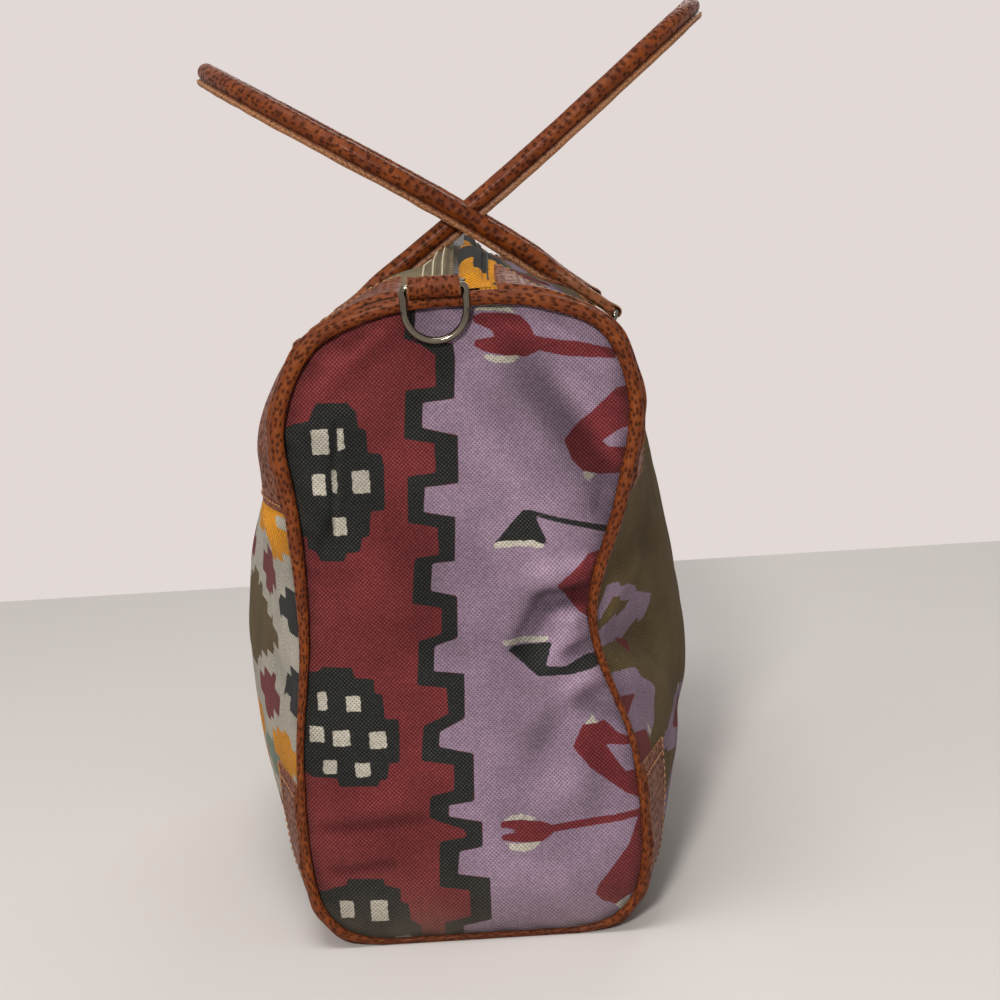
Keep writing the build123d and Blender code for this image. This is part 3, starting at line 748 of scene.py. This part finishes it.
def piece_of_stitches(name, spots, along, out, body, colour="tan", length=2.5, thick=0.42):
    """Sewn stitches: small lens-shaped threads at the spots, along the seam and bulging out of it."""
    spots, along, out = [np.asarray(item, float) for item in (spots, along, out)]
    along = unit_rows(along)
    side = unit_rows(np.cross(along, out))
    out = np.cross(side, along)
    profile = [(-0.5, 0.25, -0.5), (-0.36, 0.8, 0.1), (0.0, 1.0, 0.55), (0.36, 0.8, 0.1), (0.5, 0.25, -0.5)]
    ring = circle(1.0, 6)
    points, faces = [], []
    template = grid_faces(len(profile), 6, wrap=True).tolist() + [[5, 4, 3, 2, 1, 0], [24, 25, 26, 27, 28, 29]]
    for spot, direction, outward, sideways in zip(spots, along, out, side):
        start = len(points)
        for along_by, fat, rise in profile:
            centre = spot + direction * length * along_by + outward * thick * rise
            points += [centre + thick * fat * (c * sideways + s * outward) for c, s in ring]
        faces += [[corner + start for corner in face] for face in template]
    piece(name, points, faces, body, THREADS[colour])


def spaced(points, gap):
    """Points every gap along a line, with the directions of the line there."""
    points = np.asarray(points, float)
    run = run_along(points)
    at = np.arange(gap / 2, run[-1], gap)
    found = np.stack([np.interp(at, run, points[:, axis]) for axis in range(3)], -1)
    ahead = np.stack([np.interp(at + 0.5, run, points[:, axis]) for axis in range(3)], -1)
    behind = np.stack([np.interp(at - 0.5, run, points[:, axis]) for axis in range(3)], -1)
    return found, ahead - behind


# Piping round each end: a rolled welt, fuller at the shoulders and drawn in at the waist
for end_name, end in ENDS:
    turns = np.linspace(-ZIP_PLACE, ZIP_PLACE, 1101)[:-1]
    radius = welt_radius(turns, end)
    welt_x, welt_z, normal_x, normal_z = outline(end * HALF_LENGTH, turns, -radius)
    welt_z = np.maximum(welt_z, radius)
    path = np.stack([welt_x, end * (HALF_LENGTH + radius + 0.1), welt_z], -1)
    radius = radius * (1 + 0.025 * ripple(welt_x, welt_z, 30, 21))
    unit = circle(1.0)
    # Painted shade: a dark streak on the side of the roll that meets the panels, added to the floor dirt below.
    seam = np.exp(-((unit[:, 1] + end * 0.2) ** 2 + (unit[:, 0] + 0.95) ** 2) / 0.08)
    out = np.stack([normal_x, 0 * normal_x, normal_z], -1)
    sections = radius[:, None, None] * unit[None]
    axis_y = np.tile([0.0, 1.0, 0.0], (len(path), 1))
    dirt = 0.85 * seam[None] + soil_near_floor(welt_z, 7.0, 0.5)[:, None]
    sweep("piping_leather_" + end_name, path, out, axis_y, sections, "bag", LEATHER,
          ["piping_" + end_name], {"dirt_and_shade": dirt, "wear": 0.0}, closed=True)


PATCH_LIFT, STITCH_LIFT, STITCH_INSET, STITCH_GAP = 1.5, 1.55, 3.0, 3.6
EDGE_AT, EDGE_RISE = np.array([0.0, 0.25, 0.7, 1.4]), np.array([0.0, 0.7, 1.15, 1.35])


def edged(low, high, count):
    """Places from low to high, closer together along the patch's two edges."""
    inner = np.linspace(low + EDGE_AT[-1], high - EDGE_AT[-1], count)[1:-1]
    return np.concatenate([low + EDGE_AT, inner, high - EDGE_AT[::-1]])


def edged_lift(count):
    """The patch's height above the canvas at those places."""
    return np.concatenate([EDGE_RISE, np.full(count - 2, PATCH_LIFT), EDGE_RISE[::-1]])


def patch(name, side, end, first, last, hides):
    """A leather patch over the canvas, stitched down along its two free edges, its edges turned down to the canvas."""
    rows, columns = 45, 75
    free_y = end * (HALF_LENGTH - PATCH_LENGTH)
    y_low, y_high = sorted((end * (HALF_LENGTH + SEAM), free_y))
    middle_y = 0.5 * (y_low + y_high)
    run = np.hypot(*(np.array(outline(middle_y, side * last)[:2]) - np.array(outline(middle_y, side * first)[:2])))
    places = first + (last - first) * edged(0.0, run, columns) / run
    y, place = np.meshgrid(edged(y_low, y_high, rows), places, indexing="ij")
    along = edged_lift(rows)
    along[slice(0, 4) if end < 0 else slice(-4, None)] = PATCH_LIFT
    lift = np.minimum(along[:, None], edged_lift(columns)[None]) + 0.12 * ripple(y, 60 * place, 16, 31)
    x, z, _ = skin(y, side * place, np.maximum(lift, 0.02))
    steps = np.hypot(np.diff(x[rows // 2]), np.diff(z[rows // 2]))
    s = np.interp(place, places, np.cumsum(np.concatenate([[0], steps])))
    border = np.minimum.reduce([np.abs(y - free_y), s, s.max() - s])
    fields = {
        "cloth": cloth_field(s, y),
        "wear": 0.7 * np.exp(-((border / 0.9) ** 2)),
        "dirt_and_shade": soil_near_floor(z, 8.0, 0.4),
    }
    layer(name, x, y, z, side > 0, LEATHER, hides, fields)
    seam_y = y_high - STITCH_INSET if y_low < 0 else y_low + STITCH_INSET
    across_x, across_z, _ = skin(seam_y, side * np.linspace(first, last, 200), STITCH_LIFT)
    inset = (last - first) * STITCH_INSET / run
    line_y = np.linspace(y_low + STITCH_INSET, y_high - STITCH_INSET, 60)
    along_x, along_z, _ = skin(line_y, side * (first + inset if first > 5 else last - inset), STITCH_LIFT)
    seams = [(across_x, 0 * across_x + seam_y, across_z), (along_x, line_y, along_z)]
    spots, ways = [np.concatenate(part) for part in zip(*[spaced(np.stack(seam, -1), STITCH_GAP) for seam in seams])]
    out = np.stack([np.full(len(spots), side * 1.0), 0 * spots[:, 0], np.where(spots[:, 2] > 255, 1.6, 0.1)], -1)
    piece_of_stitches(name + "_stitches", spots, ways, out, "bag")


for end_name, end in ENDS:
    for side_name, side in SIDES:
        corner = side_name + "_" + end_name
        patch("top_leather_" + corner, side, end, 6.05, 9.3 if side < 0 else 9.55, ["top_patch_" + corner])
        patch("base_leather_" + corner, side, end, 1.2, 3.85, ["base_patch_" + corner])


def arc(first, middle, last, count):
    """Points on the circle through three points, from the first to the last."""
    a, b, c = [np.asarray(point, float) for point in (first, middle, last)]
    ab, ac = b - a, c - a
    normal = np.cross(ab, ac)
    to_centre = np.dot(ac, ac) * np.cross(normal, ab) + np.dot(ab, ab) * np.cross(ac, normal)
    centre = a + to_centre / (2 * np.dot(normal, normal))
    u = (a - centre) / np.linalg.norm(a - centre)
    v = np.cross(normal / np.linalg.norm(normal), u)
    total = math.atan2(np.dot(c - centre, v), np.dot(c - centre, u)) % math.tau
    turn = np.linspace(0, total, count)[:, None]
    return centre + np.linalg.norm(a - centre) * (np.cos(turn) * u + np.sin(turn) * v)


EDGE_ROUND, EDGE_WEAR = 0.7, 0.6


def slab(name, profile, half_width, body, hides):
    """A thick leather strap: a closed side profile carried across its width, with rounded long edges."""
    profile, half_width = np.asarray(profile, float), np.asarray(half_width, float)
    width = 2 * np.linalg.norm(half_width)
    way = 2 * half_width / width
    behind, ahead = np.roll(profile, 1, axis=0), np.roll(profile, -1, axis=0)
    inward = unit_rows(np.cross(ahead - behind, way))
    if np.mean(np.einsum("ij,ij->i", inward, profile.mean(0) - profile)) < 0:
        inward = -inward
    stops = [(0.0, 1.0), (0.12, 0.5), (0.45, 0.14), (1.0, 0.0)]
    across = [(EDGE_ROUND * at, EDGE_ROUND * inset) for at, inset in stops]
    middle = [(float(at), 0.0) for at in np.linspace(EDGE_ROUND, width - EDGE_ROUND, 14)[1:-1]]
    rows = across + middle + [(width - at, inset) for at, inset in across[::-1]]
    rings = np.array([profile + inset * inward - half_width + at * way for at, inset in rows])
    count = len(profile)
    run = run_along(profile)
    cloth = np.array([[(s, at, 0.0) for s in run] for at, _ in rows]).reshape(-1, 3)
    wear_and_painted_light = np.array([np.full(count, EDGE_WEAR if inset > 0 else 0.0) for _, inset in rows]).ravel()
    faces = grid_faces(len(rows), count, wrap=True).tolist()
    faces.append(list(range(count)))
    faces.append(list(range((len(rows) - 1) * count, len(rows) * count))[::-1])
    values = {"cloth": cloth, "wear": wear_and_painted_light, "dirt_and_shade": np.zeros(len(wear_and_painted_light))}
    piece(name, rings, faces, body, LEATHER, hides, values)


# Handles: a leather roll with a stitched flange below it, flattened to straps folded round the rings
HANDLES = {
    "back": {
        "side": 1, "pivot": (81.5, 276.5), "ring_angle": 70,
        "angle": 145.2, "reach": 248.0, "leg_y": 104.0, "bow": 2.0,
    },
    "front": {
        "side": -1, "pivot": (-75.6, 278.0), "ring_angle": 36,
        "angle": 36.5, "reach": 260.0, "leg_y": 87.0, "bow": -2.0,
    },
}
RING_Y, RING_LINK, STRAP_WIDTH, STRAP_RADIUS = 95.0, 10.0, 18.0, 3.8
ROLL_RADIUS, FLANGE_REACH, FLANGE_HALF, FLANGE_SEAM, FLANGE_STITCH_GAP = 4.7, 8.0, 1.6, 6.3, 3.4
TAPER_START, TAPER_END = 20.0, 46.0


def handle_section(flat):
    """The handle's section: a roll with its flange, or a flat strap, flange side first."""
    roll = []
    for turn in np.linspace(math.radians(-62), math.radians(242), 27):
        roll.append((ROLL_RADIUS * math.cos(turn), ROLL_RADIUS * math.sin(turn)))
    left = [(-0.7 * FLANGE_HALF, -4.6)] + [(-FLANGE_HALF, z) for z in (-5.1, -6.2, -7.3)] + [(-0.75, -FLANGE_REACH)]
    right = [(-x, z) for x, z in left[::-1]]
    rolled = np.array(roll + left + right)
    centred = rolled - (0, -1.0)
    turn = np.arctan2(centred[:, 1] / 5.6, centred[:, 0] / 4.2)
    wide, thick, power = STRAP_WIDTH / 2, 2.7, 0.42
    strap = np.stack([
        wide * np.sign(np.cos(turn)) * np.abs(np.cos(turn)) ** power,
        thick * np.sign(np.sin(turn)) * np.abs(np.sin(turn)) ** power,
    ], -1)
    return rolled + flat[:, None, None] * (strap - rolled)


def handle_line(handle):
    """A handle's middle line from ring to ring, the centre between its ring bars, and its ways along and up."""
    angle, ring_angle = math.radians(handle["angle"]), math.radians(handle["ring_angle"])
    leg_y, splay = handle["leg_y"], handle["leg_y"] - RING_Y
    along = np.array([math.cos(angle), 0, math.sin(angle)])
    up = np.array([math.sin(angle), 0, -math.cos(angle)]) * handle["side"]
    pivot = np.array([handle["pivot"][0], 0, handle["pivot"][1]])
    centre = pivot + RING_LINK * np.array([math.cos(ring_angle), 0, math.sin(ring_angle)])
    leg_length = handle["reach"] - leg_y * (1 + splay / 150)
    turn = 2 * math.atan(2 * handle["bow"] / leg_length)
    splay_angle = math.atan(splay / leg_length)
    leg_top = centre + along * leg_length
    apex_reach = leg_y * (1 + math.sin(splay_angle)) / math.cos(splay_angle)
    apex = leg_top + (along * math.cos(turn) - up * math.sin(turn)) * apex_reach
    bow = centre + along * (leg_length / 2) + up * handle["bow"] + (0, -RING_Y - splay / 2, 0)
    near_top = leg_top + (0, -leg_y, 0)
    leg = arc(centre + (0, -RING_Y, 0), bow, near_top, 170)
    loop = arc(near_top, apex, leg_top + (0, leg_y, 0), 330)
    return np.concatenate([leg[:-1], loop[:-1], leg[::-1] * (1, -1, 1)]), centre, along, up


for handle_name, handle in HANDLES.items():
    side = handle["side"]
    line, ring_centre, along, up = handle_line(handle)
    run = run_along(line)
    at = np.arange(0.4 * STRAP_RADIUS, run[-1] - 0.4 * STRAP_RADIUS, 1.0)
    path = np.stack([np.interp(at, run, line[:, axis]) for axis in range(3)], -1)
    ahead = unit_rows(np.gradient(path, axis=0))
    flange_up = unit_rows(up - np.einsum("ij,j->i", ahead, up)[:, None] * ahead)
    across = np.cross(ahead, flange_up)
    from_end = np.minimum(at, run[-1] - at)
    flat = 1 - np.clip((from_end - TAPER_START) / (TAPER_END - TAPER_START), 0, 1)
    flat = flat * flat * (3 - 2 * flat)
    sections = handle_section(flat) * (1 + 0.025 * ripple(at, 0 * at, 23, 40 + side)[:, None, None])
    low_part = np.clip((-sections[..., 1] - 4.6) / 1.0, 0, 1) * (1 - flat[:, None])
    # Painted shade in the crease between the roll and its flange.
    crease_shade = np.exp(-((sections[..., 1] + 4.4) ** 2) / 0.4) * (1 - flat[:, None])
    body = "handle_" + handle_name
    wear_and_painted_light = {"wear": 0.75 * low_part + 0.25 * flat[:, None], "dirt_and_shade": 0.6 * crease_shade}
    sweep("handle_leather_" + handle_name, path, across, flange_up, sections, body, LEATHER,
          [body, "handle_core_" + handle_name], wear_and_painted_light)
    keep = from_end > TAPER_END - 6
    for face, face_name in ((-1, "left"), (1, "right")):
        seam = path[keep] + across[keep] * face * (FLANGE_HALF + 0.1) - flange_up[keep] * FLANGE_SEAM
        spots, ways = spaced(seam, FLANGE_STITCH_GAP)
        nearest = [int(np.argmin(np.sum((path - spot) ** 2, axis=1))) for spot in spots]
        piece_of_stitches(f"handle_seam_{handle_name}_{face_name}", spots, ways, face * across[nearest],
                          body, length=2.9, thick=0.5)
    for end_name, end in ENDS:
        bar = ring_centre + (0, end * RING_Y, 0)
        turns = np.radians(np.linspace(85, 275, 24))
        fold = [bar + STRAP_RADIUS * 0.86 * (math.cos(t) * along + math.sin(t) * up) for t in turns]
        tail = [bar + along * ahead_by + up * rise for ahead_by, rise in ((7, -2.6), (15, -2.5), (15, 2.5), (7, 2.6))]
        slab(f"handle_fold_{handle_name}_{end_name}", fold + tail, (0, STRAP_WIDTH / 2, 0), body, [])


def rounded(points, times=2):
    """A closed polygon with its corners cut softly."""
    points = np.asarray(points, float)
    for _ in range(times):
        ahead = np.roll(points, -1, axis=0)
        points = np.stack([0.75 * points + 0.25 * ahead, 0.25 * points + 0.75 * ahead], 1).reshape(-1, points.shape[1])
    return points


# Leather chapes that hold the handles' rings to the panels
CHAPE_LOW, CHAPE_HIGH = 6.7, 7.45


def on_panel(y, place, grow):
    """A point of the dressed panel, across and up, at y and a place, raised by grow."""
    x, z, _ = skin(y, place, grow)
    return np.array([float(x), float(z)])


for handle_name, handle in HANDLES.items():
    side = handle["side"]
    pivot = np.array(handle["pivot"])
    for end_name, end in ENDS:
        at_y = end * RING_Y
        root = on_panel(at_y, side * 0.5 * (CHAPE_LOW + CHAPE_HIGH), 1.0)
        length = np.linalg.norm(root - pivot)
        toward = (root - pivot) / length
        normal = np.array([-toward[1], toward[0]])
        if normal @ (on_panel(at_y, side * CHAPE_HIGH, 0) - on_panel(at_y, side * CHAPE_LOW, 0)) < 0:
            normal = -normal
        turns = np.radians(np.linspace(-80, 80, 14))
        eye = [pivot + 3.5 * (-math.cos(t) * toward + math.sin(t) * normal) for t in turns[::-1]]
        neck = pivot + toward * 0.6 * length
        upper_side = [on_panel(at_y, side * (CHAPE_HIGH + 0.1), 2.0), on_panel(at_y, side * (CHAPE_HIGH - 0.08), 2.5)]
        lower_side = [on_panel(at_y, side * (CHAPE_LOW + 0.12), 2.5), on_panel(at_y, side * (CHAPE_LOW - 0.12), 2.0)]
        under = [on_panel(at_y, side * place, 0.1) for place in np.linspace(CHAPE_LOW - 0.12, CHAPE_HIGH + 0.1, 8)]
        profile = rounded(upper_side + [neck + 2.8 * normal] + eye + [neck - 2.8 * normal] + lower_side + under)
        profile = np.stack([profile[:, 0], 0 * profile[:, 0] + at_y, profile[:, 1]], -1)
        which = f"{handle_name}_{end_name}"
        slab("chape_leather_" + which, profile, (0, STRAP_WIDTH / 2, 0), "bag", ["handle_chape_" + which])
        spots, ways = [], []
        for place in (CHAPE_LOW, CHAPE_HIGH):
            for across_at in np.linspace(-6.4, 6.4, 5):
                x, z = on_panel(at_y + across_at, side * place, 2.45)
                spots.append((x, at_y + across_at, z))
                ways.append((0.0, 1.0, 0.0))
        out = np.tile([side * 0.8, 0.0, 0.6], (len(spots), 1))
        piece_of_stitches("chape_stitches_" + which, spots, ways, out, "bag", length=2.3)

# Rolled leather tabs that carry the D-rings over the piping
D_RING_X, D_RING_HEIGHT, D_RING_WIRE = -3.0, 309.0, 1.75
TAB_WIDTH, TAB_RADIUS, TAB_REACH, TAB_THICK = 24.0, 4.9, 10.0, 2.2
BAR_Y = HALF_LENGTH + 2 * PIPING_RADIUS + D_RING_WIRE + 0.6
for end_name, end in ENDS:
    strap_y = BAR_Y - HALF_LENGTH + TAB_REACH
    strap_low = END_HEIGHT + 2.0 - D_RING_HEIGHT
    step_up = (RIDGE_HEIGHT - END_HEIGHT) * fullness(HALF_LENGTH - TAB_REACH)
    turns = np.radians(np.linspace(75, 262, 22))
    roll = [(TAB_RADIUS * math.cos(t), TAB_RADIUS * math.sin(t)) for t in turns]
    strap = [
        (1.6, -TAB_RADIUS + 0.6), (2.6, -3.0), (3.4, strap_low), (8.5, strap_low + 0.2), (strap_y, strap_low + step_up),
        (strap_y, strap_low + step_up + 0.7 * TAB_THICK), (strap_y - TAB_REACH, strap_low + TAB_THICK + 1.1),
        (4.5, 3.4),
    ]
    profile = rounded(roll + strap, 1)
    place = np.array([[-end * D_RING_X, end * (BAR_Y - u), D_RING_HEIGHT + v] for u, v in profile])
    slab("tab_leather_" + end_name, place, (TAB_WIDTH / 2, 0, 0), "bag", ["d_ring_tab_" + end_name])

# Zip tapes: khaki canvas in two stitched ridges on the front side, and a soft charcoal roll on the back
MM_PER_PLACE = 8.0 / SLOT
RIDGES = {-1: [(6.4, 1.9, 2.0), (10.2, 1.8, 1.7)], 1: [(5.0, 4.7, 1.5)]}
for side_name, side in SIDES:
    ys = np.linspace(-HALF_LENGTH, HALF_LENGTH, 281)
    reach = np.concatenate([[0.0, 0.6], np.linspace(1.2, 12.6, 44)])
    y, off = np.meshgrid(ys, reach, indexing="ij")
    fade = np.clip((HALF_LENGTH - 7 - np.abs(y)) / 8, 0, 1)
    fuller = 1 + (1.6 * np.exp(-(((y + 160) / 48) ** 2)) if side > 0 else 0 * y)
    lift = 0.25 + 0.12 * ripple(y, 9 * off, 12, 61)
    for middle, half_width, height in RIDGES[side]:
        lift = lift + height * fade * fuller * np.sqrt(np.clip(1 - ((off - middle) / half_width) ** 2, 0, None))
    x, z, _ = skin(y, side * (ZIP_PLACE - off / MM_PER_PLACE), lift)
    # Painted shade in the grooves between the front tape's ridges, which darkens its colour twice.
    groove_shade = sum(0.9 * np.exp(-(((off - at) / 0.45) ** 2)) for at in (4.3, 8.4, 12.2)) * (side < 0)
    fields = {"cloth": cloth_field(y, off), "dirt_and_shade": groove_shade, "fold": -0.8 * groove_shade}
    if side > 0:
        fields.update(back_print(y, 366 - off))
    finish = PLAIN_CANVAS if side < 0 else BACK_CANVAS
    layer("zip_cloth_" + side_name, x, y, z, side < 0, finish, ["zip_tape_" + side_name], fields)
    rows = [(6.4, 2.3, "pale"), (10.2, 2.0, "pale"), (14.6, 0.1, "pale")] if side < 0 else [(11.6, 0.4, "dark")]
    for number, (off_at, lift_at, colour) in enumerate(rows):
        line_y = np.linspace(-HALF_LENGTH + 12, HALF_LENGTH - 12, 300)
        lx, lz, _ = skin(line_y, side * (ZIP_PLACE - off_at / MM_PER_PLACE), lift_at)
        spots, ways = spaced(np.stack([lx, line_y, lz], -1), 2.7)
        out = np.tile([0.3 * side, 0.0, 1.0], (len(spots), 1))
        piece_of_stitches(f"zip_stitches_{side_name}_{number}", spots, ways, out, "bag", colour, 2.1, 0.45)

# The flat canvas base
base_y = np.linspace(-HALF_LENGTH, HALF_LENGTH, 121)
part_across = np.linspace(-1, 1, 41)
edge_x = outline(base_y, BASE_EDGE)[0]
y, across = np.meshgrid(base_y, part_across, indexing="ij")
x = across * (edge_x[:, None] - 0.4)
z = 0.35 + 0.3 * (1 + ripple(x, y, 60, 71)) * (1 - across**2)
fields = {"cloth": cloth_field(x, y), "dirt_and_shade": np.full(x.shape, 0.45)}
layer("base_cloth", x, y, np.maximum(z, 0.05), True, PLAIN_CANVAS, ["base_panel"], fields)


# Floor, soft light and the camera
def backdrop():
    """A pale floor whose far edge meets the pale background behind the bag."""
    made, tree, shader = start_material("studio")
    shade = noise(tree, node(tree, "TexCoord").outputs["Object"], 1.3, 2.0)
    feed(tree, shader.inputs["Base Color"], blend(tree, shade, linear(232, 226, 223), linear(238, 233, 230)))
    shader.inputs["Roughness"].default_value = 0.9
    shader.inputs["Specular IOR Level"].default_value = 0.1
    mesh = bpy.data.meshes.new("studio")
    mesh.from_pydata([(-4.0, -4.0, 0.0), (4.0, -4.0, 0.0), (4.0, 0.8, 0.0), (-4.0, 0.8, 0.0)], [], [(0, 1, 2, 3)])
    mesh.materials.append(made)
    studio = bpy.data.objects.new("studio", mesh)
    bpy.context.scene.collection.objects.link(studio)


def surroundings():
    """Weak even light from all round, which the camera and shiny things see as a pale background."""
    world = bpy.data.worlds.new("world")
    bpy.context.scene.world = world
    world.use_nodes = True
    tree = world.node_tree
    dim = tree.nodes["Background"]
    dim.inputs[0].default_value = (1.0, 0.985, 0.97, 1.0)
    dim.inputs[1].default_value = 0.2
    pale = node(tree, "Background")
    pale.inputs[0].default_value = linear(226, 217, 214)
    pale.inputs[1].default_value = 1.0
    path = node(tree, "LightPath")
    seen = calc(tree, "MAXIMUM", calc(tree, "MAXIMUM", path.outputs["Is Camera Ray"], path.outputs["Is Glossy Ray"]),
                path.outputs["Is Transmission Ray"])
    both = node(tree, "MixShader", {0: seen, 1: dim.outputs[0], 2: pale.outputs[0]})
    feed(tree, tree.nodes["World Output"].inputs[0], both.outputs[0])


def lamp(name, place, aim, size, power, colour=(1.0, 0.98, 0.95)):
    """A round soft lamp pointed at a spot."""
    light = bpy.data.lights.new(name, "AREA")
    light.shape = "DISK"
    light.size = size
    light.energy = power
    light.color = colour
    made = bpy.data.objects.new(name, light)
    made.location = place
    made.rotation_euler = (Vector(aim) - Vector(place)).to_track_quat("-Z", "Y").to_euler()
    bpy.context.scene.collection.objects.link(made)


backdrop()
surroundings()
lamp("key", (-0.45, -2.9, 1.35), (0.0, 0.0, 0.2), 0.36, 56.0)
lamp("top", (-0.3, -0.6, 2.1), (0.0, 0.1, 0.1), 1.1, 17.0)
lamp("rear", (0.7, 2.7, 1.7), (0.0, 0.1, 0.2), 1.4, 20.0)

eye = bpy.data.cameras.new("camera")
eye.lens = 79.2
eye.sensor_width = 36.0
camera = bpy.data.objects.new("camera", eye)
tilt = Matrix.Rotation(math.radians(90 - 8.0), 4, "X") @ Matrix.Rotation(math.radians(-3.5), 4, "Z")
camera.matrix_world = Matrix.Translation((0.021, -1.215, 0.350)) @ tilt
bpy.context.scene.collection.objects.link(camera)
bpy.context.scene.camera = camera
bpy.context.scene.view_settings.view_transform = "Standard"
